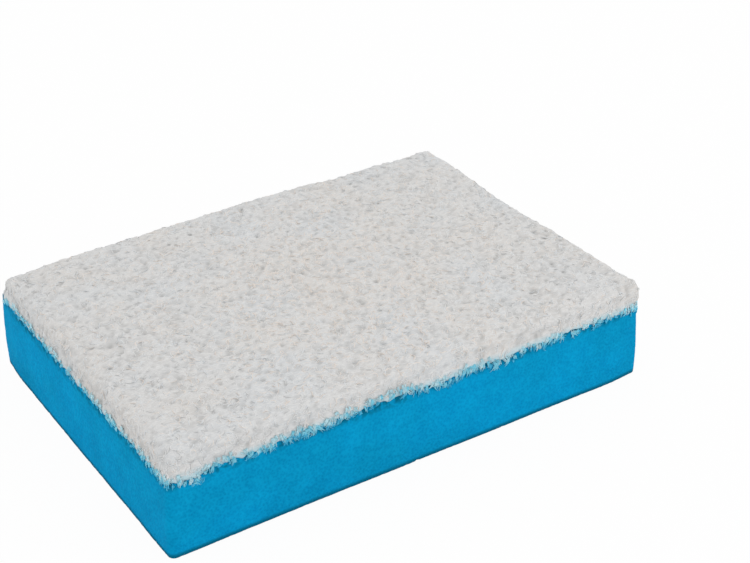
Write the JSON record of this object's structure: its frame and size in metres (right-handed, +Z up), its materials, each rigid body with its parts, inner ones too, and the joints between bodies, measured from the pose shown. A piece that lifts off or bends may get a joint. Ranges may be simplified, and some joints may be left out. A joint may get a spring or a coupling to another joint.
{
  "type": "cleaning sponge",
  "caption": "Rectangular cleaning sponge: a soft blue foam block with a thick pale pad of matted scouring fibre bonded over its top.",
  "frame": {"origin": "middle of the foam's underside, the face that the sponge stands on", "axes": "+X along the length, +Y across the width, +Z up from the foam to the scouring pad"},
  "size_m": [0.1512, 0.1062, 0.0314],
  "materials": {
    "foam": "matte open-cell polyurethane foam, cut with a blade",
    "scouring_fibre": "lofty off-white non-woven synthetic fibre, matted and napped"
  },
  "bodies": {
    "root": {"foam_block": "foam", "scouring_pad": "scouring_fibre"}
  },
  "joints": []
}
